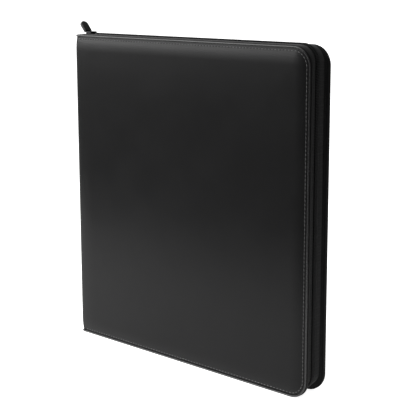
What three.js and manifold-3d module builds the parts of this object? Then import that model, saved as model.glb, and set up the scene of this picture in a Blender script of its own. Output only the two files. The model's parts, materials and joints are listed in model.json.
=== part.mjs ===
// Zip-up trading card binder for side-loading twelve-pocket pages, closed and standing upright.
// Millimetres, +Z up. The front cover faces -Y, the spine is at -X and the zip side at +X.
// The origin is on the ground, under the middle of the binder's box with the pull tab's overhang.
import * as THREE from "three";
import { mergeVertices } from "three/addons/utils/BufferGeometryUtils.js";
import Module from "manifold-3d";

// Outside sizes
const width = 326;
const height = 346;
const thickness = 36;
const cornerRadius = 20;
const hingeRadius = 5;
const arcSteps = 4;

// Layers of a cover, counted in from the padded face
const gap = 0.3;
const skin = 1.2;
const foam = 1.4;
const board = 1.8;
const lining = 0.8;
const coverDepth = skin + foam + board + lining + 3 * gap;
const cavityHalf = thickness / 2 - coverDepth;
const spineX = -width / 2;
const coverLeft = spineX + hingeRadius + gap;
const foamInset = 12;
const boardInset = 6.5;

// Edge piping in its step round the three open sides of a cover
const pipingRadius = 1;
const pipingInset = 1.2;
const pipingDepth = 2;
const stepWidth = pipingInset + pipingRadius + gap;
const stepDepth = pipingDepth + pipingRadius + gap;

// Zip: two tapes that meet along the middle of the thickness
const tapeThickness = 0.7;
const tapeEdge = 0.8;
const tapeFlange = 8;
const tapeRecess = 5;
const tapeRadius = 17;
const tapeStart = spineX + 6;
const coilStart = spineX + 21.5;
const coilWidth = 2.2;
const coilHeight = 1.5;
const coilChamfer = 0.5;
const stopLength = 2.2;
const notchHalf = 4.9;

// Slider and pull
const sliderHalf = 4.6;
const channelHalf = 3.3;
const webHalf = 0.45;
const plate = 1;
const sliderTail = spineX + 1.6;
const sliderNose = spineX + 14;
const noseRound = 1;
const noseBulge = 8.2;
const noseTaper = 2.5;
const tailHalf = 1.6;
const tailTaper = 3;
const bailWire = 0.45;
const bailHalf = 4;
const bailCorner = 0.8;
const pullX = spineX + 3.2;
const pullLean = 40;
const tabHalf = 4.8;
const tabThickness = 2.6;
const tabLength = 12;
const tabNeckHalf = 3.1;
const tabShoulder = 1.5;
const eyeRadius = 1.3;
const eyeHole = 0.75;

// Pages
const pageCount = 20;
const pagePitch = 1.14;
const pageThickness = 0.6;
const rootThickness = 0.3;
const rootLength = 12;
const rootTaper = 1;
const pageWidth = 298;
const pageMargin = 14;
const bindingThickness = 1.5;
const bindingHalf = 11.2;

// Spine stiffener and lining, and the cloth tabs at its two ends
const spineClear = 3.5;
const boardLow = 2;
const liningLow = 1;
const endTabDepth = 2.4;
const endTabHalf = 10.4;
const endTabHeight = 6;
const lowTabHeight = 5.5;
const lowTabStart = 6.5;

// Finishes
const leatherLook = { color: 0x262626, roughness: 0.42, metalness: 0 };
const pipingLook = { color: 0x2a2a2a, roughness: 0.35, metalness: 0 };
const foamLook = { color: 0x4a4a4a, roughness: 0.95, metalness: 0 };
const boardLook = { color: 0x6f6252, roughness: 0.9, metalness: 0 };
const liningLook = { color: 0x1c1c1c, roughness: 0.8, metalness: 0 };
const tapeLook = { color: 0x242424, roughness: 0.9, metalness: 0 };
const coilLook = { color: 0x1d1d1d, roughness: 0.5, metalness: 0 };
const metalLook = { color: 0x303236, roughness: 0.35, metalness: 1 };
const pageLook = { color: 0x161616, roughness: 0.3, metalness: 0 };

const wasm = await Module();
wasm.setup();

const binder = new THREE.Group();

function addPart(name, geometry, look, parent = binder) {
  const mesh = new THREE.Mesh(geometry, new THREE.MeshStandardMaterial(look));
  mesh.name = name;
  parent.add(mesh);
  return mesh;
}

// ---- Helpers for closed bodies

function signedVolume(points, faces) {
  let sum = 0;
  for (const [a, b, c] of faces) {
    sum += points[a].dot(new THREE.Vector3().crossVectors(points[b], points[c]));
  }
  return sum / 6;
}

// Triangles of a flat ring of points, by dropping the axis it faces
function capFaces(ring, offset) {
  const normal = new THREE.Vector3();
  ring.forEach((point, i) => normal.add(new THREE.Vector3().crossVectors(point, ring[(i + 1) % ring.length])));
  const size = [Math.abs(normal.x), Math.abs(normal.y), Math.abs(normal.z)];
  const drop = size.indexOf(Math.max(...size));
  const flat = ring.map((p) => {
    const rest = [p.x, p.y, p.z].filter((value, axis) => axis !== drop);
    return new THREE.Vector2(...rest);
  });
  return THREE.ShapeUtils.triangulateShape(flat, []).map((face) => face.map((i) => i + offset));
}

// Joins rings of points, one after another, into a closed body
function loftRings(rings, looped = false) {
  const count = rings[0].length;
  const points = rings.flat();
  const faces = [];
  const spans = looped ? rings.length : rings.length - 1;
  for (let r = 0; r < spans; r++) {
    const here = r * count;
    const next = ((r + 1) % rings.length) * count;
    for (let i = 0; i < count; i++) {
      const j = (i + 1) % count;
      faces.push([here + i, here + j, next + j], [here + i, next + j, next + i]);
    }
  }
  if (!looped) {
    const last = rings.length - 1;
    const first = capFaces(rings[0], 0);
    const end = capFaces(rings[last], last * count);
    faces.push(...orientCap(first, faces), ...orientCap(end, faces));
  }
  if (signedVolume(points, faces) < 0) faces.forEach((face) => face.reverse());
  const geometry = new THREE.BufferGeometry();
  geometry.setAttribute("position", new THREE.Float32BufferAttribute(points.flatMap((p) => [p.x, p.y, p.z]), 3));
  geometry.setIndex(faces.flat());
  return geometry.toNonIndexed();
}

// Turns a cap so that its rim runs against the side faces
function orientCap(cap, sides) {
  const rim = new Set(sides.flatMap(([a, b, c]) => [`${a},${b}`, `${b},${c}`, `${c},${a}`]));
  const clash = cap.some(([a, b, c]) => rim.has(`${a},${b}`) || rim.has(`${b},${c}`) || rim.has(`${c},${a}`));
  return clash ? cap.map((face) => [...face].reverse()) : cap;
}

function extrudeZ(shape, low, high) {
  const geometry = new THREE.ExtrudeGeometry(shape, { depth: high - low, bevelEnabled: false, curveSegments: 6 });
  return geometry.translate(0, 0, low);
}

// Shape in X and Z, thick along Y
function extrudeY(shape, low, high) {
  const options = { depth: high - low, bevelEnabled: false, curveSegments: arcSteps };
  const geometry = new THREE.ExtrudeGeometry(shape, options);
  return geometry.rotateX(Math.PI / 2).translate(0, high, 0);
}

// Shape in Y and Z, thick along X
function extrudeX(shape, low, high) {
  const options = { depth: high - low, bevelEnabled: false, curveSegments: 8 };
  const turn = new THREE.Matrix4().makeBasis(
    new THREE.Vector3(0, 1, 0),
    new THREE.Vector3(0, 0, 1),
    new THREE.Vector3(1, 0, 0),
  );
  return new THREE.ExtrudeGeometry(shape, options).applyMatrix4(turn).translate(low, 0, 0);
}

function rectangle(left, low, right, high) {
  return new THREE.Shape([
    new THREE.Vector2(left, low),
    new THREE.Vector2(right, low),
    new THREE.Vector2(right, high),
    new THREE.Vector2(left, high),
  ]);
}

function boxBetween(low, high) {
  const size = high.map((value, i) => value - low[i]);
  const middle = high.map((value, i) => (value + low[i]) / 2);
  return new THREE.BoxGeometry(...size).translate(...middle);
}

function toManifold(geometry) {
  const bare = geometry.clone();
  bare.deleteAttribute("normal");
  bare.deleteAttribute("uv");
  const merged = mergeVertices(bare, 1e-4);
  const vertProperties = new Float32Array(merged.attributes.position.array);
  const triVerts = new Uint32Array(merged.index.array);
  return new wasm.Manifold(new wasm.Mesh({ numProp: 3, vertProperties, triVerts }));
}

function fromManifold(solid) {
  const mesh = solid.getMesh();
  const geometry = new THREE.BufferGeometry();
  geometry.setAttribute("position", new THREE.Float32BufferAttribute(mesh.vertProperties, 3));
  geometry.setIndex([...mesh.triVerts]);
  return geometry.toNonIndexed();
}

// ---- Covers

// Outline of a cover in X and Z: square at the spine, rounded at the zip side
function coverOutline(inset, hingeInset) {
  const right = width / 2 - inset;
  return edgeStations(coverLeft + hingeInset, right, inset, height - inset, cornerRadius - inset);
}

function coverRing(side, inset, hingeInset, depth) {
  const y = side * (thickness / 2 - depth);
  return coverOutline(inset, hingeInset).map((p) => new THREE.Vector3(p.x, y, p.z));
}

// Leather tray: padded face, step for the piping, and a turned edge down to the lining
function coverSkin(side) {
  const innerWall = stepWidth + skin;
  const shelf = stepDepth + skin;
  return loftRings([
    coverRing(side, stepWidth, 0, 0),
    coverRing(side, stepWidth, 0, stepDepth),
    coverRing(side, 0, 0, stepDepth),
    coverRing(side, 0, 0, coverDepth),
    coverRing(side, skin, skin, coverDepth),
    coverRing(side, skin, skin, shelf),
    coverRing(side, innerWall, skin, shelf),
    coverRing(side, innerWall, skin, skin),
  ]);
}

function coverLayer(side, inset, depth, layerThickness) {
  const faces = [side * (thickness / 2 - depth), side * (thickness / 2 - depth - layerThickness)];
  const shape = new THREE.Shape(coverOutline(inset, skin + gap).map((p) => new THREE.Vector2(p.x, p.z)));
  return extrudeY(shape, Math.min(...faces), Math.max(...faces));
}

// Stations along the three open sides, each a point with its outward direction in X and Z
function edgeStations(left, right, low, high, radius) {
  const stations = [{ x: left, z: high, nx: 0, nz: 1 }];
  const steps = 2 * arcSteps;
  for (let i = 0; i <= steps; i++) {
    const angle = (Math.PI / 2) * (1 - i / steps);
    const [nx, nz] = [Math.cos(angle), Math.sin(angle)];
    stations.push({ x: right - radius + radius * nx, z: high - radius + radius * nz, nx, nz });
  }
  for (let i = 0; i <= steps; i++) {
    const angle = (-Math.PI / 2) * (i / steps);
    const [nx, nz] = [Math.cos(angle), Math.sin(angle)];
    stations.push({ x: right - radius + radius * nx, z: low + radius + radius * nz, nx, nz });
  }
  stations.push({ x: left, z: low, nx: 0, nz: -1 });
  return stations;
}

// Section points are [y, depth below the station]
function sectionAt(station, section) {
  return section.map(([y, depth]) => {
    return new THREE.Vector3(station.x - depth * station.nx, y, station.z - depth * station.nz);
  });
}

function roundSection(y, depth, radius, sides = 8) {
  return Array.from({ length: sides }, (_, i) => {
    const angle = (2 * Math.PI * (i + 0.5)) / sides;
    return [y + radius * Math.cos(angle), depth + radius * Math.sin(angle)];
  });
}

function coverPiping(side) {
  const stations = edgeStations(coverLeft, width / 2, 0, height, cornerRadius);
  const section = roundSection(side * (thickness / 2 - pipingDepth), pipingInset, pipingRadius);
  return loftRings(stations.map((station) => sectionAt(station, section)));
}

// ---- Zip

function zipStations(start) {
  return edgeStations(start, width / 2 - tapeRecess, tapeRecess, height, tapeRadius);
}

// Tape half: a flat strip out to the coil and a flange sewn inside the lining
function tapeSection(side, innerEdge) {
  const outer = cavityHalf - gap;
  return [
    [side * innerEdge, 0],
    [side * outer, 0],
    [side * outer, tapeFlange],
    [side * (outer - tapeThickness), tapeFlange],
    [side * (outer - tapeThickness), tapeThickness],
    [side * innerEdge, tapeThickness],
  ];
}

function backTape() {
  return loftRings(zipStations(tapeStart).map((station) => sectionAt(station, tapeSection(1, tapeEdge))));
}

// The front tape is cut back round the parked slider, so that the cover opens past it
function frontTape() {
  const notchEnd = coilStart - stopLength - gap;
  const [first, ...rest] = zipStations(tapeStart);
  const step = { ...first, x: notchEnd };
  const full = [step, ...rest].map((station) => sectionAt(station, tapeSection(-1, tapeEdge)));
  const narrow = [first, step].map((station) => sectionAt(station, tapeSection(-1, notchHalf)));
  return loftRings([...narrow, ...full]);
}

function coilSection(side) {
  const top = -(coilHeight + gap);
  const middle = -(coilHeight / 2 + gap);
  const outer = tapeEdge + coilWidth;
  return [
    [side * tapeEdge, -gap],
    [side * outer, -gap],
    [side * outer, middle],
    [side * (outer - coilChamfer), top],
    [side * (tapeEdge + coilChamfer), top],
    [side * tapeEdge, middle],
  ];
}

function zipCoil(side, start, finish) {
  const stations = zipStations(start);
  stations[stations.length - 1].x = finish;
  return loftRings(stations.map((station) => sectionAt(station, coilSection(side))));
}

// Short metal clamp on one coil, on the run with the given height and outward direction
function zipStop(side, start, z, nz) {
  const stations = [start, start + stopLength].map((x) => ({ x, z, nx: 0, nz }));
  return loftRings(stations.map((station) => sectionAt(station, coilSection(side))));
}

// ---- Slider and pull

// I-shaped section: channels for both coils, one web between them
function sliderBody() {
  const low = height - tapeThickness - gap - plate;
  const underside = height + gap;
  const channelTop = height + coilHeight + 2 * gap;
  const top = channelTop + plate;
  const half = [
    [webHalf, low + plate],
    [sliderHalf, low + plate],
    [sliderHalf, low],
  ];
  const upper = [
    [sliderHalf, top],
    [sliderHalf, underside],
    [channelHalf, underside],
    [channelHalf, channelTop],
    [webHalf, channelTop],
  ];
  const right = [...upper, ...half];
  const left = right.map(([y, z]) => [-y, z]).reverse();
  const section = new THREE.Shape([...right, ...left].map(([y, z]) => new THREE.Vector2(y, z)));
  const beam = extrudeX(section, sliderTail - plate, sliderNose + plate);

  // Shield-shaped plan, round at the tail and wide at the nose
  const plan = new THREE.Shape();
  const side = sliderNose - noseTaper;
  plan.moveTo(sliderNose, noseRound - sliderHalf);
  plan.quadraticCurveTo(sliderNose, sliderHalf - noseBulge, sliderNose, sliderHalf - noseRound);
  plan.quadraticCurveTo(sliderNose, sliderHalf, side, sliderHalf);
  plan.quadraticCurveTo(sliderTail + tailTaper, sliderHalf, sliderTail, tailHalf);
  plan.lineTo(sliderTail, -tailHalf);
  plan.quadraticCurveTo(sliderTail + tailTaper, -sliderHalf, side, -sliderHalf);
  plan.quadraticCurveTo(sliderNose, -sliderHalf, sliderNose, noseRound - sliderHalf);
  const blank = extrudeZ(plan, low - plate, top + plate);
  return fromManifold(toManifold(beam).intersect(toManifold(blank)));
}

const sliderTop = height + coilHeight + 2 * gap + plate;
const pullZ = sliderTop + eyeRadius + gap;

// Wire bail across the slider's tail, its bar through the tab's eye
function sliderBail() {
  const foot = sliderTop + gap - pullZ;
  const path = [[-bailHalf, foot, -1, 0]];
  const steps = 3;
  for (const side of [-1, 1]) {
    for (let i = 0; i <= steps; i++) {
      const turn = (Math.PI / 2) * (i / steps);
      const angle = side < 0 ? Math.PI - turn : Math.PI / 2 - turn;
      const [oy, oz] = [Math.cos(angle), Math.sin(angle)];
      const middle = side * (bailHalf - bailCorner);
      path.push([middle + bailCorner * oy, bailCorner * (oz - 1), oy, oz]);
    }
  }
  path.push([bailHalf, foot, 1, 0]);
  const rings = path.map(([y, z, oy, oz]) => {
    return roundSection(0, 0, bailWire).map(([x, d]) => new THREE.Vector3(x, y + d * oy, z + d * oz));
  });
  return loftRings(rings).translate(pullX, 0, pullZ);
}

// Leather tab: a neck with an eye round the bail's bar, then a strip with a round end
function pullTab() {
  const half = tabThickness / 2;
  const neck = new THREE.Shape();
  neck.moveTo(half, 2 * tabShoulder);
  neck.lineTo(-half, 2 * tabShoulder);
  neck.lineTo(-eyeRadius, 0);
  neck.absarc(0, 0, eyeRadius, Math.PI, 2 * Math.PI);
  const hole = new THREE.Path();
  hole.absarc(0, 0, eyeHole, 0, 2 * Math.PI, true);
  neck.holes.push(hole);
  const strip = new THREE.Shape();
  const roundAt = tabLength - tabHalf;
  strip.moveTo(-tabHalf, tabShoulder);
  strip.lineTo(tabHalf, tabShoulder);
  strip.absarc(0, roundAt, tabHalf, 0, Math.PI);
  strip.closePath();
  const eye = toManifold(extrudeY(neck, -tabNeckHalf, tabNeckHalf));
  return fromManifold(eye.add(toManifold(extrudeX(strip, -half, half))));
}

// ---- Spine

// Quarter round of leather from a cover to the spine
function hingeSkin(side) {
  const centre = spineX + hingeRadius;
  const y = side * (thickness / 2 - hingeRadius);
  const from = side > 0 ? Math.PI / 2 : Math.PI;
  const to = from + Math.PI / 2;
  const shape = new THREE.Shape();
  shape.absarc(centre, y, hingeRadius, from, to);
  shape.absarc(centre, y, hingeRadius - skin, to, from, true);
  shape.closePath();
  return extrudeZ(shape, 0, height);
}

const spineHalf = thickness / 2 - hingeRadius - gap;
const boardX = spineX + skin + gap;
const liningX = boardX + board + gap;
const bindingX = liningX + lining + gap;
const rootX = bindingX + bindingThickness + gap;

// A leaf with a thin root at the binding and its pocket area beyond
function pageLeaf(y) {
  const [thin, full] = [rootThickness / 2, pageThickness / 2];
  const shape = new THREE.Shape();
  shape.moveTo(rootX, y - thin);
  shape.lineTo(rootX + rootLength, y - thin);
  shape.lineTo(rootX + rootLength + rootTaper, y - full);
  shape.lineTo(rootX + pageWidth, y - full);
  shape.lineTo(rootX + pageWidth, y + full);
  shape.lineTo(rootX + rootLength + rootTaper, y + full);
  shape.lineTo(rootX + rootLength, y + thin);
  shape.lineTo(rootX, y + thin);
  shape.closePath();
  return extrudeZ(shape, pageMargin + rootTaper, height - pageMargin);
}

// ---- Assembly

for (const [name, side] of [["front", -1], ["back", 1]]) {
  const foamDepth = skin + gap;
  const boardDepth = foamDepth + foam + gap;
  const liningDepth = boardDepth + board + gap;
  addPart(`${name}_cover_skin`, coverSkin(side), leatherLook);
  addPart(`${name}_foam`, coverLayer(side, foamInset, foamDepth, foam), foamLook);
  addPart(`${name}_board`, coverLayer(side, boardInset, boardDepth, board), boardLook);
  addPart(`${name}_lining`, coverLayer(side, skin + gap, liningDepth, lining), liningLook);
  addPart(`${name}_piping`, coverPiping(side), pipingLook);
  addPart(`${name}_zip_tape`, side < 0 ? frontTape() : backTape(), tapeLook);
  const coilEnd = tapeStart + stopLength + gap;
  addPart(`${name}_zip_coil`, zipCoil(side, side < 0 ? coilStart : tapeStart, coilEnd), coilLook);
  addPart(`${name}_bottom_stop`, zipStop(side, tapeStart, tapeRecess, -1), metalLook);
}
addPart("front_top_stop", zipStop(-1, coilStart - stopLength - gap, height, 1), metalLook);

addPart("spine_skin", boxBetween([spineX, -spineHalf, 0], [spineX + skin, spineHalf, height]), leatherLook);
addPart("front_hinge_skin", hingeSkin(-1), leatherLook);
addPart("back_hinge_skin", hingeSkin(1), leatherLook);
const spineTop = height - spineClear;
const boardFoot = [boardX, -spineHalf, boardLow];
addPart("spine_board", boxBetween(boardFoot, [boardX + board, spineHalf, spineTop]), boardLook);
const liningFoot = [liningX, -spineHalf, liningLow];
addPart("spine_lining", boxBetween(liningFoot, [liningX + lining, spineHalf, spineTop]), liningLook);
const bindingLow = [bindingX, -bindingHalf, pageMargin];
const bindingHigh = [bindingX + bindingThickness, bindingHalf, height - pageMargin];
addPart("page_binding", boxBetween(bindingLow, bindingHigh), liningLook);

// Cloth tabs that close the ends of the spine behind the zip
for (const [name, low, tall] of [
  ["top_end_tab", spineTop - gap - endTabHeight, endTabHeight],
  ["bottom_end_tab", lowTabStart, lowTabHeight],
]) {
  const high = [bindingX + endTabDepth, endTabHalf, low + tall];
  addPart(name, boxBetween([bindingX, -endTabHalf, low], high), tapeLook);
}

for (let i = 0; i < pageCount; i++) {
  const y = (i - (pageCount - 1) / 2) * pagePitch;
  addPart(`page_${String(i + 1).padStart(2, "0")}`, pageLeaf(y), pageLook);
}

addPart("slider_body", sliderBody(), metalLook);
addPart("slider_bail", sliderBail(), metalLook);
const pull = new THREE.Group();
pull.position.set(pullX, 0, pullZ);
pull.rotation.y = THREE.MathUtils.degToRad(-pullLean);
addPart("pull_tab", pullTab(), leatherLook, pull);
binder.add(pull);

// The leaning tab reaches past the spine; half of that reach centres the whole box on the origin
const lean = THREE.MathUtils.degToRad(pullLean);
const tabReach = -pullX + tabLength * Math.sin(lean) + (tabThickness / 2) * Math.cos(lean);
binder.position.x = (tabReach + spineX) / 2;

const model = new THREE.Group();
model.add(binder);

export default model;
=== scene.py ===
import bpy
import json
import math
from mathutils import Matrix, Vector


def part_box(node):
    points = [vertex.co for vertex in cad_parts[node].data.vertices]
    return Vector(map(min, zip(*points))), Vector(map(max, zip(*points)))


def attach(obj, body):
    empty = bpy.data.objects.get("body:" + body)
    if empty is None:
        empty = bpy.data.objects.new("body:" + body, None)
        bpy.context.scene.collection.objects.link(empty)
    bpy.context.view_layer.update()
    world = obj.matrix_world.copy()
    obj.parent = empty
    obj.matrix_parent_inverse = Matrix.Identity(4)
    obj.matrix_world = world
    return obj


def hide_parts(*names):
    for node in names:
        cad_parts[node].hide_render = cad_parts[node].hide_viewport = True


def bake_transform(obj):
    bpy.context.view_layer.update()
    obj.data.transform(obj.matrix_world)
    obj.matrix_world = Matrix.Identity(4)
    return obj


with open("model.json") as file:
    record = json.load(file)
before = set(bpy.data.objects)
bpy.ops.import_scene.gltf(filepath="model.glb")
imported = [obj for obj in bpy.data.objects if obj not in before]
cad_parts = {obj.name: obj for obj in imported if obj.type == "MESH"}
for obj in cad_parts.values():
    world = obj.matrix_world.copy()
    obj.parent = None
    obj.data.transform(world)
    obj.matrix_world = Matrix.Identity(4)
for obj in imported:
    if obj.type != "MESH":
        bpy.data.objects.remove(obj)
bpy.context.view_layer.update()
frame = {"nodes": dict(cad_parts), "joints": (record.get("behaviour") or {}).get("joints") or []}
mm = 0.001
touch = 0.01 * mm  # places closer than this are taken as one

# sizes that more than one piece needs, read from the frame
faceLow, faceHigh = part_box("front_cover_skin")
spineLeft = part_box("spine_skin")[0].x
tapeLow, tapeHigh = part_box("back_zip_tape")
fold = 5 * mm  # round of the leather from a cover to the spine
binder = dict(
    left=spineLeft,
    right=faceHigh.x,
    height=faceHigh.z,
    front=faceLow.y,  # the padded face of the front cover
    inner=faceHigh.y,  # the open side of the front cover's tray
    corner=20 * mm,
    fold=fold,
    hinge=spineLeft + fold,
)


def deselectAll():
    if bpy.context.object and bpy.context.object.mode != "OBJECT":
        bpy.ops.object.mode_set(mode="OBJECT")
    bpy.ops.object.select_all(action="DESELECT")


def activate(piece):
    deselectAll()
    piece.select_set(True)
    bpy.context.view_layer.objects.active = piece


def added(name):
    piece = bpy.context.object
    piece.name = name
    piece.data.name = name
    return piece


def settle(piece):
    # puts the piece's place and turn into its mesh
    activate(piece)
    bpy.ops.object.transform_apply(location=True, rotation=True, scale=True)
    return piece


def addCube(name, low, high):
    deselectAll()
    low, high = Vector(low), Vector(high)
    bpy.ops.mesh.primitive_cube_add(size=1, location=(low + high) / 2)
    piece = added(name)
    piece.scale = high - low
    return settle(piece)


def pick(piece, kind, test):
    # selects the vertices, edges or faces whose middle passes the test, and opens edit mode
    activate(piece)
    mesh = piece.data
    for part in (mesh.vertices, mesh.edges, mesh.polygons):
        part.foreach_set("select", [False] * len(part))
    if kind == "VERT":
        chosen = [v for v in mesh.vertices if test(v.co)]
    elif kind == "EDGE":
        ends = [(mesh.vertices[e.vertices[0]].co, mesh.vertices[e.vertices[1]].co) for e in mesh.edges]
        chosen = [e for e, (a, b) in zip(mesh.edges, ends) if test(a, b)]
    else:
        chosen = [p for p in mesh.polygons if test(p.center, p.normal)]
    for part in chosen:
        part.select = True
        for index in getattr(part, "vertices", []):
            mesh.vertices[index].select = True
    bpy.context.tool_settings.mesh_select_mode = (kind == "VERT", kind == "EDGE", kind == "FACE")
    bpy.ops.object.mode_set(mode="EDIT")
    return len(chosen)


def doneEditing():
    bpy.ops.object.mode_set(mode="OBJECT")


def cut(piece, place, normal, clear=False):
    pick(piece, "VERT", lambda co: True)
    bpy.ops.mesh.bisect(plane_co=place, plane_no=normal, clear_inner=clear)
    doneEditing()


def cleanNormals(piece):
    pick(piece, "VERT", lambda co: True)
    bpy.ops.mesh.remove_doubles(threshold=0.00002)
    bpy.ops.mesh.normals_make_consistent(inside=False)
    doneEditing()


def applied(piece, kind, **settings):
    activate(piece)
    modifier = piece.modifiers.new(kind.lower(), kind)
    for key, value in settings.items():
        setattr(modifier, key, value)
    bpy.ops.object.modifier_apply(modifier=modifier.name)
    return piece


def smooth(piece, angle=40):
    activate(piece)
    bpy.ops.object.shade_smooth_by_angle(angle=math.radians(angle))
    return piece


def copied(piece, name):
    twin = piece.copy()
    twin.data = piece.data.copy()
    twin.name = name
    twin.data.name = name
    bpy.context.scene.collection.objects.link(twin)
    return twin


def mirrored(piece, name):
    # the back cover's pieces are the front's, turned over the middle of the thickness
    twin = copied(piece, name)
    twin.data.transform(Matrix.Scale(-1, 4, (0, 1, 0)))
    twin.data.flip_normals()
    return twin


def cadCopy(node, name):
    # a CAD node's mesh as a new piece, with its loose corners joined
    source = frame["nodes"][node]
    twin = bpy.data.objects.new(name, source.data.copy())
    bpy.context.scene.collection.objects.link(twin)
    for key in list(twin.keys()):
        del twin[key]
    cleanNormals(twin)
    return twin


def joined(pieces, name):
    deselectAll()
    for piece in pieces:
        piece.select_set(True)
    bpy.context.view_layer.objects.active = pieces[0]
    bpy.ops.object.join()
    return added(name)


def edgePath(left, right, low, high, radius, steps=10):
    # points round the open sides in X and Z: along the top, down the zip side, back along the foot
    points = [(left, high)]
    for centreZ, begin in ((high - radius, 90), (low + radius, 0)):
        for i in range(steps + 1):
            angle = math.radians(begin - 90 * i / steps)
            points.append((right - radius + radius * math.cos(angle), centreZ + radius * math.sin(angle)))
    points.append((left, low))
    return points


def pathLength(points):
    return sum(math.dist(a, b) for a, b in zip(points, points[1:]))


def layCurve(name, points):
    # a flat curve whose X and Y are the binder's X and Z
    curve = bpy.data.curves.new(name, "CURVE")
    curve.dimensions = "2D"
    spline = curve.splines.new("POLY")
    spline.points.add(len(points) - 1)
    for point, (x, y) in zip(spline.points, points):
        point.co = (x, y, 0, 1)
    piece = bpy.data.objects.new(name, curve)
    bpy.context.scene.collection.objects.link(piece)
    return piece


def bendAlong(piece, points, standUp=True):
    # bends a piece laid out along X on to the path, then stands it up: Y faces out, Z faces forward
    curve = layCurve(piece.name + "_path", points)
    applied(piece, "CURVE", object=curve, deform_axis="POS_X")
    bpy.data.objects.remove(curve)
    if standUp:
        piece.data.transform(Matrix.Rotation(math.pi / 2, 4, "X"))
    return piece


def finishPiece(piece, material, body=None):
    piece.data.materials.clear()
    piece.data.materials.append(material)
    if body:
        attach(piece, body)
    return piece


def newMaterial(name, base, roughness, metallic=0.0, specular=0.5):
    material = bpy.data.materials.new(name)
    material.use_nodes = True
    shader = material.node_tree.nodes["Principled BSDF"]
    shader.inputs["Base Color"].default_value = (*base, 1)
    shader.inputs["Roughness"].default_value = roughness
    shader.inputs["Metallic"].default_value = metallic
    shader.inputs["Specular IOR Level"].default_value = specular
    return material, shader


def addNode(material, kind, **inputs):
    node = material.node_tree.nodes.new(kind)
    for key, value in inputs.items():
        node.inputs[key].default_value = value
    return node


def link(material, source, target):
    material.node_tree.links.new(source, target)


def objectNoise(material, scale, detail=4.0, roughness=0.5, stretch=(1, 1, 1)):
    place = addNode(material, "ShaderNodeTexCoord")
    mapping = addNode(material, "ShaderNodeMapping", Scale=stretch)
    noise = addNode(material, "ShaderNodeTexNoise", Scale=scale, Detail=detail, Roughness=roughness)
    link(material, place.outputs["Object"], mapping.inputs["Vector"])
    link(material, mapping.outputs["Vector"], noise.inputs["Vector"])
    return noise


def ranged(material, source, low, high):
    spread = addNode(material, "ShaderNodeMapRange")
    spread.inputs["To Min"].default_value = low
    spread.inputs["To Max"].default_value = high
    link(material, source, spread.inputs["Value"])
    return spread.outputs["Result"]


def mixColors(material, factor, first, second):
    mix = material.node_tree.nodes.new("ShaderNodeMix")
    mix.data_type = "RGBA"
    mix.inputs["A"].default_value = (*first, 1)
    mix.inputs["B"].default_value = (*second, 1)
    link(material, factor, mix.inputs["Factor"])
    return mix.outputs["Result"]


def addBumps(material, shader, layers):
    # layers are (height socket, distance in metres, strength), coarse first
    before = None
    for height, distance, strength in layers:
        bump = addNode(material, "ShaderNodeBump", Distance=distance, Strength=strength)
        link(material, height, bump.inputs["Height"])
        if before:
            link(material, before, bump.inputs["Normal"])
        before = bump.outputs["Normal"]
    link(material, before, shader.inputs["Normal"])


leather = dict(dark=(0.0070, 0.0070, 0.0072), light=(0.0100, 0.0100, 0.0102), rough=(0.27, 0.35),
               gloss=0.15)


def makeLeather(name, settings, grain=1.0):
    # satin coated leather cloth: pebbled grain, fine pores and slow unevenness of the gloss
    material, shader = newMaterial(name, settings["dark"], 0.4, specular=settings["gloss"])
    slow = objectNoise(material, 26, 3)
    pores = addNode(material, "ShaderNodeTexVoronoi", Scale=2300.0, Randomness=1.0)
    place = addNode(material, "ShaderNodeTexCoord")
    link(material, place.outputs["Object"], pores.inputs["Vector"])
    wave = objectNoise(material, 420, 4, 0.6)
    link(material, mixColors(material, slow.outputs["Fac"], settings["dark"], settings["light"]),
         shader.inputs["Base Color"])
    link(material, ranged(material, slow.outputs["Fac"], *settings["rough"]), shader.inputs["Roughness"])
    addBumps(material, shader, [
        (slow.outputs["Fac"], 0.0012, 0.12 * grain),
        (wave.outputs["Fac"], 0.00012, 0.25 * grain),
        (pores.outputs["Distance"], 0.00005, 0.35 * grain),
    ])
    return material


def makeWeave(name, dark, light, pitch, roughness=0.85, slant=0.0):
    # two crossed bands of threads on the object's own coordinates
    material, shader = newMaterial(name, dark, roughness, specular=0.2)
    shader.inputs["Sheen Weight"].default_value = 0.15
    place = addNode(material, "ShaderNodeTexCoord")
    mapping = addNode(material, "ShaderNodeMapping")
    mapping.inputs["Rotation"].default_value = (0, math.radians(slant), 0)
    link(material, place.outputs["Object"], mapping.inputs["Vector"])
    bands = []
    scale = math.pi / (20 * pitch)  # one wave is two threads wide
    for direction in ("X", "Z"):
        wave = addNode(material, "ShaderNodeTexWave", Scale=scale, Distortion=0.6)
        wave.bands_direction = direction
        wave.inputs["Detail Scale"].default_value = 2.0
        link(material, mapping.outputs["Vector"], wave.inputs["Vector"])
        bands.append(wave.outputs["Fac"])
    weave = addNode(material, "ShaderNodeMath")
    weave.operation = "MULTIPLY"
    link(material, bands[0], weave.inputs[0])
    link(material, bands[1], weave.inputs[1])
    fuzz = objectNoise(material, 900, 3, 0.7)
    link(material, mixColors(material, weave.outputs["Value"], dark, light), shader.inputs["Base Color"])
    addBumps(material, shader, [
        (weave.outputs["Value"], 0.00025, 0.6),
        (fuzz.outputs["Fac"], 0.00015, 0.35),
    ])
    return material


def makePlastic(name, base, rough, specular=0.5, scratch=0.2):
    material, shader = newMaterial(name, base, rough[0], specular=specular)
    fine = objectNoise(material, 350, 5, 0.65)
    link(material, ranged(material, fine.outputs["Fac"], *rough), shader.inputs["Roughness"])
    addBumps(material, shader, [(fine.outputs["Fac"], 0.00006, scratch)])
    return material


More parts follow.
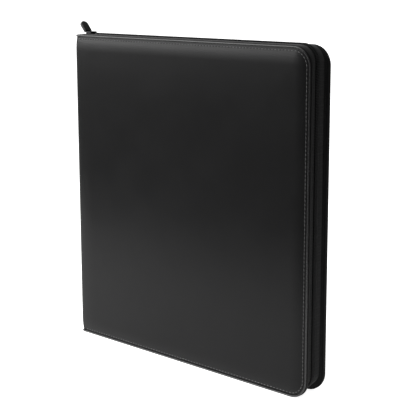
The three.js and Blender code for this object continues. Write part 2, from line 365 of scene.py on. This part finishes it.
def makeMetal(name, base, worn, rough):
    # dark enamel with a little bare metal showing through
    material, shader = newMaterial(name, base, rough[0], metallic=0.85)
    fine = objectNoise(material, 600, 5, 0.7)
    wear = ranged(material, fine.outputs["Fac"], -1.2, 1.1)
    link(material, mixColors(material, wear, base, worn), shader.inputs["Base Color"])
    link(material, ranged(material, fine.outputs["Fac"], *rough), shader.inputs["Roughness"])
    addBumps(material, shader, [(fine.outputs["Fac"], 0.00004, 0.3)])
    return material


coverMaterial = makeLeather("cover_leather", leather)
piping = dict(dark=(0.016, 0.016, 0.0162), light=(0.022, 0.022, 0.0222), rough=(0.22, 0.30), gloss=0.5)
pipingMaterial = makeLeather("piping_leather", piping, 0.5)
edge = dict(dark=(0.006, 0.006, 0.0062), light=(0.010, 0.010, 0.0102), rough=(0.62, 0.75), gloss=0.15)
edgeMaterial = makeLeather("turned_edge_leather", edge, 1.3)
thread = dict(dark=(0.048, 0.048, 0.0475), light=(0.075, 0.075, 0.0742), rough=(0.28, 0.38), gloss=1.0)
threadMaterial = makeLeather("waxed_thread", thread, 0.4)
hemThread = makeWeave("black_thread", (0.010, 0.010, 0.0101), (0.024, 0.024, 0.0241), 0.0004, 0.7)
tapeMaterial = makeWeave("zip_tape_twill", (0.007, 0.007, 0.0072), (0.016, 0.016, 0.0163),
                         0.0011, slant=35)
liningMaterial = makeWeave("lining_cloth", (0.006, 0.006, 0.0063), (0.015, 0.015, 0.0155), 0.0009)
coilMaterial = makePlastic("nylon_coil", (0.007, 0.007, 0.0073), (0.42, 0.6), 0.25)
pageMaterial = makePlastic("page_backing", (0.010, 0.010, 0.0105), (0.4, 0.55), 0.3, 0.3)
pocketMaterial = makePlastic("pocket_film", (0.036, 0.037, 0.039), (0.12, 0.26), 0.55, 0.12)
tabLeather = dict(dark=(0.014, 0.014, 0.0142), light=(0.020, 0.020, 0.0202), rough=(0.35, 0.45),
                  gloss=0.3)
tabMaterial = makeLeather("pull_tab_leather", tabLeather)
metalMaterial = makeMetal("slider_enamel", (0.012, 0.012, 0.013), (0.11, 0.11, 0.115), (0.3, 0.5))
foamMaterial = makePlastic("grey_foam", (0.2, 0.2, 0.2), (0.85, 0.98), 0.2, 0.9)
boardMaterial = makePlastic("binders_board", (0.26, 0.21, 0.15), (0.8, 0.95), 0.2, 0.6)
print("materials made")


cover = dict(
    name="front_cover_leather",
    reach=40 * mm,  # how far the blank runs past the hinge before it is cut off there
    ledge=3.3 * mm,  # depth of the step that the piping sits on
    edgeRound=0.5 * mm,
    cornerSegments=14,
    turnIn=0.9 * mm,  # the rim ends where the lining begins
    # from the cover's edge in: width of each ring and how far it rises
    rings=[(0.25, 0.15), (1.2, 0.05), (0.2, 0.55), (0.5, 0.15), (1.0, 0.04), (0.8, 0.20),
           (1.4, 0.46), (1.6, 0.46), (1.9, 0.42), (2.2, 0.35), (2.4, 0.26), (2.6, 0.15), (2.7, 0.06)],
    columns=(2, 5, 9, 14, 20),  # cuts beside the spine, in mm from the hinge
    slope=20 * mm,  # the padding eases off this far from the spine
    drop=0.9 * mm,
    wrapSteps=8,
    skin=1.1 * mm,
)


def wrapDepth(depth, turn):
    # the step for the piping is shallower round the fold and across the spine; turn runs from 0 to 1
    return depth * (1 - 0.75 * turn)


def coverLeather(settings):
    b = binder
    edge = settings["edgeRound"]
    low = (b["hinge"] - settings["reach"], b["front"] + settings["ledge"], 0)
    high = (b["right"], b["inner"] - edge, b["height"])
    piece = addCube(settings["name"], low, high)
    pick(piece, "EDGE", lambda p, q: min(p.x, q.x) > b["right"] - mm and abs(p.z - q.z) < mm)
    bpy.ops.mesh.bevel(offset=b["corner"], segments=settings["cornerSegments"], affect="EDGES")
    doneEditing()
    pick(piece, "FACE", lambda centre, normal: normal.y < -0.9)
    for wide, rise in settings["rings"]:
        bpy.ops.mesh.inset(thickness=wide * mm, depth=rise * mm, use_even_offset=True)
    doneEditing()
    pick(piece, "FACE", lambda centre, normal: normal.y > 0.9)
    bpy.ops.mesh.inset(thickness=edge, depth=edge)
    bpy.ops.mesh.inset(thickness=settings["turnIn"], depth=0)
    bpy.ops.mesh.delete(type="FACE")
    doneEditing()
    cut(piece, (b["hinge"], 0, 0), (1, 0, 0), clear=True)
    for column in settings["columns"]:
        cut(piece, (b["hinge"] + column * mm, 0, 0), (1, 0, 0))

    # the face runs on round the fold and half way across the spine
    shelf = b["front"] + settings["ledge"] + touch
    pick(piece, "EDGE", lambda p, q: max(p.x, q.x) < b["hinge"] + touch and max(p.y, q.y) < shelf)
    centre = (b["hinge"], b["front"] + b["fold"], 0)
    bpy.ops.mesh.spin(steps=settings["wrapSteps"], angle=math.pi / 2, center=centre, axis=(0, 0, 1))
    bpy.ops.mesh.extrude_region_move(TRANSFORM_OT_translate={"value": (0, -centre[1], 0)})
    doneEditing()
    cleanNormals(piece)
    for vertex in piece.data.vertices:
        across = centre[0] - vertex.co.x
        deep = centre[1] - vertex.co.y
        if across > touch and deep > 0:
            turn = math.atan2(across, deep)
            radius = b["fold"] - wrapDepth(b["fold"] - math.hypot(across, deep), turn / (math.pi / 2))
            vertex.co.x = centre[0] - radius * math.sin(turn)
            vertex.co.y = centre[1] - radius * math.cos(turn)
        elif across > touch:
            vertex.co.x = centre[0] - b["fold"] + wrapDepth(b["fold"] - across, 1)

    # the padding eases off towards the spine
    for vertex in piece.data.vertices:
        share = 1 - min(1, max(0, (vertex.co.x - b["hinge"] + mm) / settings["slope"]))
        outer = max(0, (centre[1] - vertex.co.y) / b["fold"])
        vertex.co.y += settings["drop"] * share * share * min(1, outer) ** 2
    applied(piece, "SOLIDIFY", thickness=settings["skin"], offset=-1, use_even_offset=False)
    cleanNormals(piece)
    return smooth(piece, 50)


cord = dict(radius=0.85 * mm, inset=1.2 * mm, depth=2.0 * mm, bevelSteps=4, wrapSteps=6)


def coverPiping(settings):
    # a leather-covered cord round the cover's edge, the fold and the top and foot of the spine
    b = binder
    inset, depth = settings["inset"], settings["depth"]
    radius = b["corner"] - inset
    ring = edgePath(b["hinge"], b["right"] - inset, inset, b["height"] - inset, radius, 14)
    points = [(x, b["front"] + depth, z) for x, z in ring]
    centre = (b["hinge"], b["front"] + b["fold"])
    wrap = []
    steps = settings["wrapSteps"]
    for i in range(1, steps + 1):
        turn = math.radians(90 * i / steps)
        reach = b["fold"] - wrapDepth(depth, i / steps)
        wrap.append((centre[0] - reach * math.sin(turn), centre[1] - reach * math.cos(turn)))
    wrap.append((wrap[-1][0], 0))
    top = [(x, y, b["height"] - inset) for x, y in reversed(wrap)]
    foot = [(x, y, inset) for x, y in wrap]
    curve = bpy.data.curves.new("front_cover_piping", "CURVE")
    curve.dimensions = "3D"
    curve.bevel_depth = settings["radius"]
    curve.bevel_resolution = settings["bevelSteps"]
    curve.use_fill_caps = True
    spline = curve.splines.new("POLY")
    route = top + points + foot
    spline.points.add(len(route) - 1)
    for point, place in zip(spline.points, route):
        point.co = (*place, 1)
    piece = bpy.data.objects.new("front_cover_piping", curve)
    bpy.context.scene.collection.objects.link(piece)
    activate(piece)
    bpy.ops.object.convert(target="MESH")
    piece = bpy.context.object
    cleanNormals(piece)
    return smooth(piece, 60)


def leatherDepth(inset):
    # how far the leather lies behind the padding's crown, at this distance in from the cover's edge
    depth = cover["ledge"]
    for wide, rise in cover["rings"]:
        share = min(1, inset / (wide * mm))
        depth -= share * rise * mm
        inset -= share * wide * mm
    return depth


stitch = dict(inset=4.6 * mm, pitch=4.0 * mm, length=2.5 * mm, width=1.0 * mm, thick=1.1 * mm, lean=7)


def stitchRow(name, settings, path, forward):
    # one stitch, repeated along the seam; forward is how far in front of the middle it lies
    deselectAll()
    bpy.ops.mesh.primitive_uv_sphere_add(segments=8, ring_count=6, radius=0.5)
    piece = added(name)
    piece.scale = (settings["length"], settings["width"], settings["thick"])
    piece.rotation_euler = (0, 0, math.radians(settings["lean"]))
    settle(piece)
    piece.data.transform(Matrix.Translation((settings["pitch"] / 2, 0, forward)))
    count = int(pathLength(path) / settings["pitch"])
    applied(piece, "ARRAY", count=count, use_relative_offset=False, use_constant_offset=True,
            constant_offset_displace=(settings["pitch"], 0, 0))
    bendAlong(piece, path)
    return smooth(piece, 80)


frontLeather = coverLeather(cover)
backLeather = mirrored(frontLeather, "back_cover_leather")
frontPiping = coverPiping(cord)
backPiping = mirrored(frontPiping, "back_cover_piping")
seam = edgePath(binder["hinge"] + mm, binder["right"] - stitch["inset"], stitch["inset"],
                binder["height"] - stitch["inset"], binder["corner"] - stitch["inset"], 14)
# dark matte blobs in the gaps between the stitches: painted shade of the needle holes, not a real part of
# the seam
holeShadeBlob = dict(stitch, length=1.7 * mm, width=1.4 * mm, thick=0.7 * mm, lean=0)
holeShadeSeam = [(seam[0][0] + stitch["pitch"] / 2, seam[0][1])] + seam[1:]
seamPlace = -binder["front"] - leatherDepth(stitch["inset"])
frontHoleShade = stitchRow("front_cover_painted_hole_shade", holeShadeBlob, holeShadeSeam, seamPlace)
backHoleShade = mirrored(frontHoleShade, "back_cover_painted_hole_shade")
frontStitches = stitchRow("front_cover_stitches", stitch, seam, seamPlace)
backStitches = mirrored(frontStitches, "back_cover_stitches")

shelf = abs(binder["front"]) - cover["ledge"]
for side, leatherPiece, pipingPiece in ((1, frontLeather, frontPiping), (-1, backLeather, backPiping)):
    name = "front" if side > 0 else "back"
    finishPiece(leatherPiece, coverMaterial)
    finishPiece(pipingPiece, pipingMaterial)
    for piece in (leatherPiece, pipingPiece):
        if side > 0:
            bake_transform(piece)
        else:
            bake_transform(piece)
    leatherPiece.data.materials.append(edgeMaterial)
    for face in leatherPiece.data.polygons:
        if abs(face.center.y) < shelf + 0.1 * mm and face.center.x > binder["hinge"] + 0.1 * mm:
            face.material_index = 1
    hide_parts(name + "_cover_skin", name + "_hinge_skin")
    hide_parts(name + "_piping")
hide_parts("spine_skin")
finishPiece(frontStitches, threadMaterial, "front_cover")
finishPiece(backStitches, threadMaterial, "back_cover")
# the painted needle-hole shade takes the black thread's dark matte finish
finishPiece(frontHoleShade, hemThread, "front_cover")
finishPiece(backHoleShade, hemThread, "back_cover")
print("covers, piping and stitches made")


zipTape = dict(start=tapeLow.x, right=tapeHigh.x, low=tapeLow.z, high=tapeHigh.z, corner=17 * mm,
               inner=0.8 * mm, outer=tapeHigh.y, flange=8 * mm, thick=0.55 * mm, step=2 * mm,
               notch=4.9 * mm, puff=0.35 * mm, turn=0.8 * mm, hemInset=4 * mm, hemDepth=0.45 * mm)
zipCoil = dict(pitch=1.5 * mm, rib=0.95 * mm, reach=0.35 * mm, outer=3.0 * mm, low=0.3 * mm,
               high=1.8 * mm, lean=12)
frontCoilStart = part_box("front_top_stop")[1].x + 0.3 * mm
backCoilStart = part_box("back_zip_coil")[0].x
zipPath = edgePath(zipTape["start"], zipTape["right"], zipTape["low"], zipTape["high"],
                   zipTape["corner"], 14)
zipLength = pathLength(zipPath)


def tapeHalf(name, settings, notched):
    # a flat woven strip with a flange, laid out along X and bent round the three sides
    s = settings
    deselectAll()
    bpy.ops.mesh.primitive_grid_add(x_subdivisions=int(zipLength / s["step"]), y_subdivisions=4, size=1)
    piece = added(name)
    width = s["outer"] - s["inner"]
    for vertex in piece.data.vertices:
        along = (vertex.co.x + 0.5) * zipLength
        across = s["inner"] + (vertex.co.y + 0.5) * width
        swell = math.sin(math.pi * min(1, (across - s["inner"]) / width))
        vertex.co = (along, s["puff"] * swell, across)
    outerEdge = s["outer"] - touch
    pick(piece, "EDGE", lambda p, q: min(p.z, q.z) > outerEdge)
    for drop in (s["turn"], s["flange"] - s["turn"]):
        bpy.ops.mesh.extrude_region_move(TRANSFORM_OT_translate={"value": (0, -drop, 0)})
    doneEditing()
    if notched:
        notchEnd = frontCoilStart - s["start"] - 2.7 * mm
        pick(piece, "FACE", lambda centre, normal: centre.x < notchEnd and centre.z < s["notch"] - mm)
        bpy.ops.mesh.delete(type="FACE")
        doneEditing()
    cleanNormals(piece)
    applied(piece, "SOLIDIFY", thickness=s["thick"], offset=0)
    bendAlong(piece, zipPath)
    cleanNormals(piece)
    return smooth(piece, 50)


def coilHalf(name, settings, start, phase):
    # one rib of the coil, repeated; the two halves' heads mesh in the middle
    s = settings
    path = [(start, zipPath[0][1])] + zipPath[1:]
    piece = addCube(name, (-s["rib"] / 2, s["low"], -s["reach"]), (s["rib"] / 2, s["high"], s["outer"]))
    pick(piece, "EDGE", lambda p, q: True)
    bpy.ops.mesh.bevel(offset=0.3 * mm, segments=2, affect="EDGES")
    doneEditing()
    piece.data.transform(Matrix.Rotation(math.radians(s["lean"]), 4, "Y"))
    piece.data.transform(Matrix.Translation(((phase + 0.5) * s["pitch"], 0, 0)))
    count = int(pathLength(path) / s["pitch"]) - 2
    applied(piece, "ARRAY", count=count, use_relative_offset=False, use_constant_offset=True,
            constant_offset_displace=(s["pitch"], 0, 0))
    bendAlong(piece, path)
    return smooth(piece, 50)


for side, name, coilStart, phase in ((1, "front", frontCoilStart, 0), (-1, "back", backCoilStart, 0.5)):
    body = name + "_cover"
    tape = tapeHalf(name + "_tape", zipTape, side > 0)
    coil = coilHalf(name + "_coil", zipCoil, coilStart, phase)
    inset = zipTape["hemInset"]
    hemPath = edgePath(zipTape["start"] + mm, zipTape["right"] - inset, zipTape["low"] + inset,
                       zipTape["high"] - inset, zipTape["corner"] - inset, 10)
    hem = stitchRow(name + "_hem_stitches", stitch, hemPath, zipTape["outer"] - zipTape["hemDepth"])
    for piece in (tape, coil, hem):
        if side < 0:
            piece.data.transform(Matrix.Scale(-1, 4, (0, 1, 0)))
            piece.data.flip_normals()
    finishPiece(tape, tapeMaterial, body)
    finishPiece(coil, coilMaterial, body)
    finishPiece(hem, hemThread, body)
    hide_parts(name + "_zip_tape")
    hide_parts(name + "_zip_coil")
print("zip made")


pullJoint = next(joint for joint in frame["joints"] if joint["name"] == "pull_swing")
pull = dict(pivot=Vector(pullJoint["pos_m"]), lean=-40, half=4.8 * mm, thick=3.2 * mm, start=-2.2 * mm,
            length=11.5 * mm, edge=0.5 * mm, back=0.6 * mm)


def pullTab(settings):
    s = settings
    half = s["thick"] / 2
    strap = addCube("pull_tab_leather", (-half, -s["half"], s["start"]), (half, s["half"], s["length"]))
    pick(strap, "EDGE", lambda p, q: min(p.z, q.z) > s["length"] - 0.1 * mm and abs(p.x - q.x) > mm)
    bpy.ops.mesh.bevel(offset=s["half"] * 0.98, segments=10, affect="EDGES")
    doneEditing()
    pick(strap, "EDGE", lambda p, q: abs(p.x - q.x) < touch)
    bpy.ops.mesh.bevel(offset=s["edge"], segments=3, affect="EDGES")
    doneEditing()
    return smooth(strap, 45)


def tabStitches(settings):
    # a thread line round the tab, on both faces
    s = settings
    inset = 1.1 * mm
    half = s["half"] - inset
    top = s["length"] - inset
    path = [(-half, s["start"] + 2 * mm)]
    for i in range(9):
        angle = math.pi - math.pi * i / 8
        path.append((half * math.cos(angle), top - half + half * math.sin(angle)))
    path.append((half, s["start"] + 2 * mm))
    small = dict(pitch=1.5 * mm, length=1.05 * mm, width=0.3 * mm, thick=0.3 * mm, lean=0)
    rows = []
    for face in (-1, 1):
        row = stitchRow(f"tab_row_{face + 1}", small, path, face * s["thick"] / 2)
        rows.append(row)
    piece = joined(rows, "pull_tab_stitches")
    piece.data.transform(Matrix.Rotation(math.pi / 2, 4, "Z"))
    return piece


tabLean = Matrix.Rotation(math.radians(pull["lean"]), 4, "Y")
tabPlace = Matrix.Translation(pull["pivot"] - Vector((pull["back"], 0, 0))) @ tabLean
tab = pullTab(pull)
tabThread = tabStitches(pull)
for piece in (tab, tabThread):
    piece.data.transform(tabPlace)
finishPiece(tab, tabMaterial, "pull")
finishPiece(tabThread, threadMaterial, "pull")
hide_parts("pull_tab")

for node, edge in (("slider_body", 0.28 * mm), ("slider_bail", 0.0)):
    piece = cadCopy(node, node + "_metal")
    if edge:
        applied(piece, "BEVEL", width=edge, segments=3, limit_method="ANGLE",
                angle_limit=math.radians(35))
    else:
        applied(piece, "SUBSURF", levels=2, render_levels=2)
    smooth(piece, 40)
    finishPiece(piece, metalMaterial, "slider")
    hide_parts(node)
print("slider and pull tab made")


pageLow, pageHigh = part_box("page_01")
page = dict(columns=4, rows=3, root=13 * mm, margin=4 * mm, thick=pageHigh.y - pageLow.y, weld=1.6 * mm,
            lift=0.07 * mm, pocketArea=0.002)


def pocketPage(settings):
    # one leaf: a thin root, welded margins and a grid of pockets raised on both faces
    s = settings
    left, right = pageLow.x + s["root"], pageHigh.x - s["margin"]
    low, high = pageLow.z + s["margin"], pageHigh.z - s["margin"]
    deselectAll()
    bpy.ops.mesh.primitive_grid_add(x_subdivisions=s["columns"], y_subdivisions=s["rows"], size=1)
    piece = added("page_leaf")
    for vertex in piece.data.vertices:
        x = left + (vertex.co.x + 0.5) * (right - left)
        z = low + (vertex.co.y + 0.5) * (high - low)
        vertex.co = (x, 0, z)
    pick(piece, "EDGE", lambda p, q: max(p.z, q.z) < low + mm)
    bpy.ops.mesh.extrude_region_move(TRANSFORM_OT_translate={"value": (0, 0, -s["margin"])})
    doneEditing()
    pick(piece, "EDGE", lambda p, q: min(p.z, q.z) > high - mm)
    bpy.ops.mesh.extrude_region_move(TRANSFORM_OT_translate={"value": (0, 0, s["margin"])})
    doneEditing()
    pick(piece, "EDGE", lambda p, q: min(p.x, q.x) > right - mm)
    bpy.ops.mesh.extrude_region_move(TRANSFORM_OT_translate={"value": (s["margin"], 0, 0)})
    doneEditing()
    pick(piece, "EDGE", lambda p, q: max(p.x, q.x) < left + mm)
    for step in (-1 * mm, -(s["root"] - mm)):
        bpy.ops.mesh.extrude_region_move(TRANSFORM_OT_translate={"value": (step, 0, 0)})
    doneEditing()
    applied(piece, "SOLIDIFY", thickness=s["thick"] - 4 * s["lift"], offset=0)

    def isPocket(centre, normal):
        return abs(normal.y) > 0.9 and left < centre.x < right and low < centre.z < high

    pick(piece, "FACE", isPocket)
    bpy.ops.mesh.inset(use_individual=True, thickness=s["weld"], depth=0)
    bpy.ops.mesh.inset(use_individual=True, thickness=0.5 * mm, depth=s["lift"])
    bpy.ops.mesh.inset(use_individual=True, thickness=1.8 * mm, depth=s["lift"])
    doneEditing()
    for vertex in piece.data.vertices:
        if vertex.co.x < left - 0.5 * mm:
            vertex.co.y *= 0.55
    cleanNormals(piece)
    return smooth(piece, 30)


leaf = pocketPage(page)
for i in range(20):
    number = f"{i + 1:02d}"
    low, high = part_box("page_" + number)
    piece = copied(leaf, "pocket_page_" + number)
    piece.data.transform(Matrix.Translation((0, (low.y + high.y) / 2, 0)))
    finishPiece(piece, pageMaterial, "leaf_" + number)
    piece.data.materials.append(pocketMaterial)
    for face in piece.data.polygons:
        if face.area > page["pocketArea"]:
            face.material_index = 1
    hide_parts("page_" + number)
bpy.data.objects.remove(leaf)
print("pages made")


layer = dict(rim=0.25 * mm, hemInset=6 * mm, segments=10, foamTrim=Vector((8 * mm, 0.45 * mm, 1 * mm)),
             foamCorner=8 * mm, foamRim=0.4 * mm, boardTrim=Vector((0.3 * mm, 0.5 * mm, 9 * mm)),
             tabCloth=0.6 * mm)


def clothPanel(name, low, high, corner=0.0, rim=layer["rim"]):
    # a flat panel with softened edges, its corners on the zip side rounded when a radius is given
    piece = addCube(name, low, high)
    if corner:
        pick(piece, "EDGE", lambda p, q: min(p.x, q.x) > high.x - 0.1 * mm and abs(p.z - q.z) < 0.1 * mm)
        bpy.ops.mesh.bevel(offset=corner, segments=layer["segments"], affect="EDGES")
        doneEditing()
    thin = 0 if high.x - low.x < high.y - low.y else 1
    pick(piece, "EDGE", lambda p, q: abs(p[thin] - q[thin]) < touch)
    bpy.ops.mesh.bevel(offset=rim, segments=2, affect="EDGES")
    doneEditing()
    return smooth(piece, 50)


def foldedTab(name, low, high, up):
    # a cloth strip doubled over, its fold at the end away from the binding
    cloth = layer["tabCloth"]
    radius = (high.x - low.x - cloth) / 2
    middle = (low.x + high.x) / 2
    mouth, end = (low.z, high.z) if up else (high.z, low.z)
    toEnd = 1 if up else -1
    turn = end - toEnd * (radius + cloth / 2)
    route = [(middle - radius, mouth)]
    for i in range(9):
        angle = math.pi * i / 8
        route.append((middle - radius * math.cos(angle), turn + toEnd * radius * math.sin(angle)))
    route.append((middle + radius, mouth))
    deselectAll()
    bpy.ops.mesh.primitive_grid_add(x_subdivisions=len(route) - 1, y_subdivisions=4, size=1)
    piece = added(name)
    for vertex in piece.data.vertices:
        x, z = route[round((vertex.co.x + 0.5) * (len(route) - 1))]
        vertex.co = (x, low.y + (vertex.co.y + 0.5) * (high.y - low.y), z)
    applied(piece, "SOLIDIFY", thickness=cloth, offset=0)
    cleanNormals(piece)
    return smooth(piece, 50)


for name in ("front", "back"):
    low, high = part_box(name + "_lining")
    lining = clothPanel(name + "_lining_cloth", low, high, binder["corner"] - (binder["right"] - high.x))
    hemInset = layer["hemInset"]
    hemPath = edgePath(low.x + mm, high.x - hemInset, low.z + hemInset, high.z - hemInset,
                       binder["corner"] - hemInset)
    face = high.y if name == "front" else low.y
    hem = stitchRow(name + "_lining_stitches", stitch, hemPath, -face)
    finishPiece(lining, liningMaterial, name + "_cover")
    finishPiece(hem, hemThread, name + "_cover")
    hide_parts(name + "_lining")
    low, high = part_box(name + "_foam")
    trim = layer["foamTrim"]
    foamHigh = high - Vector((trim.x, 0, trim.z))
    foam = clothPanel(name + "_foam_pad", low + trim, foamHigh, layer["foamCorner"], layer["foamRim"])
    if name == "back":
        foam.data.transform(Matrix.Translation((0, -trim.y, 0)))
    finishPiece(foam, foamMaterial, name + "_cover")
    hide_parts(name + "_foam")

for node in ("spine_lining", "page_binding"):
    low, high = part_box(node)
    piece = clothPanel(node + "_cloth", low, high)
    finishPiece(piece, liningMaterial, "spine")
    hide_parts(node)

for node, up in (("top_end_tab", True), ("bottom_end_tab", False)):
    piece = foldedTab(node + "_cloth", *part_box(node), up)
    finishPiece(piece, tapeMaterial, "spine")
    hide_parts(node)

low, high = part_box("spine_board")
spineBoard = clothPanel("spine_board_strip", low + layer["boardTrim"], high - layer["boardTrim"])
finishPiece(spineBoard, boardMaterial, "spine")
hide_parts("spine_board")
print("inner layers made")


# the CAD nodes that stay as they are get their own finishes
for node, material in (
    ("front_board", boardMaterial), ("back_board", boardMaterial),
    ("front_top_stop", metalMaterial), ("front_bottom_stop", metalMaterial),
    ("back_bottom_stop", metalMaterial),
):
    mesh = frame["nodes"][node].data
    mesh.materials.clear()
    mesh.materials.append(material)


# the floor ends in front and to the right, so that the leather's reflection darkens there
studio = dict(floor=0.9, glow=0.42, seen=0.95, floorSize=160, front=-0.37, right=0.5, world=0.18,
              backdrop=1.0)
deselectAll()
halfFloor = studio["floorSize"] / 2
bpy.ops.mesh.primitive_plane_add(size=studio["floorSize"],
                                 location=(studio["right"] - halfFloor, studio["front"] + halfFloor, 0))
floor = added("studio_floor")
floorMaterial, floorShader = newMaterial("pale_floor", (studio["floor"],) * 3, 0.7, specular=0.2)
floorShader.inputs["Emission Color"].default_value = (1, 1, 1, 1)
floorRays = addNode(floorMaterial, "ShaderNodeLightPath")
floorGlow = ranged(floorMaterial, floorRays.outputs["Is Camera Ray"], studio["glow"], studio["seen"])
link(floorMaterial, floorGlow, floorShader.inputs["Emission Strength"])
floor.data.materials.append(floorMaterial)


def addLamp(name, kind, power, place, aim, **settings):
    light = bpy.data.lights.new(name, kind)
    light.energy = power
    for key, value in settings.items():
        setattr(light, key, value)
    holder = bpy.data.objects.new(name, light)
    bpy.context.scene.collection.objects.link(holder)
    holder.location = place
    holder.rotation_euler = (Vector(aim) - Vector(place)).to_track_quat("-Z", "Y").to_euler()


addLamp("sky_light", "SUN", 1.5, (-0.6, -0.3, 2.0), (0, 0, 0), angle=math.radians(70))
middle = (0, 0, 0.25)
addLamp("left_softbox", "AREA", 20, (-1.0, -0.75, 1.0), middle, shape="RECTANGLE", size=1.3, size_y=0.9)
addLamp("low_fill", "AREA", 3.5, (-1.0, -0.75, 0.48), middle, shape="RECTANGLE", size=1.3, size_y=0.32)

world = bpy.data.worlds.new("studio_air")
bpy.context.scene.world = world
world.use_nodes = True
air = world.node_tree
background = air.nodes["Background"]
background.inputs["Color"].default_value = (1, 1, 1, 1)
background.inputs["Strength"].default_value = studio["world"]
bright = air.nodes.new("ShaderNodeBackground")
bright.inputs["Color"].default_value = (1, 1, 1, 1)
bright.inputs["Strength"].default_value = studio["backdrop"]
rays = air.nodes.new("ShaderNodeLightPath")
chooser = air.nodes.new("ShaderNodeMixShader")
air.links.new(rays.outputs["Is Camera Ray"], chooser.inputs["Fac"])
air.links.new(background.outputs["Background"], chooser.inputs[1])
air.links.new(bright.outputs["Background"], chooser.inputs[2])
air.links.new(chooser.outputs["Shader"], air.nodes["World Output"].inputs["Surface"])
bpy.context.scene.view_settings.view_transform = "Standard"

view = dict(place=(0.753, -0.8213, 0.4098), turn=41.488, tilt=10.131, roll=-0.095, lens=91.98,
            shiftY=-0.10)
cameraData = bpy.data.cameras.new("camera")
cameraData.lens = view["lens"]
cameraData.shift_y = view["shiftY"]
camera = bpy.data.objects.new("camera", cameraData)
bpy.context.scene.collection.objects.link(camera)
camera.matrix_world = (
    Matrix.Translation(view["place"])
    @ Matrix.Rotation(math.radians(view["turn"]), 4, "Z")
    @ Matrix.Rotation(math.radians(90 - view["tilt"]), 4, "X")
    @ Matrix.Rotation(math.radians(view["roll"]), 4, "Z")
)
bpy.context.scene.camera = camera
print("studio made")
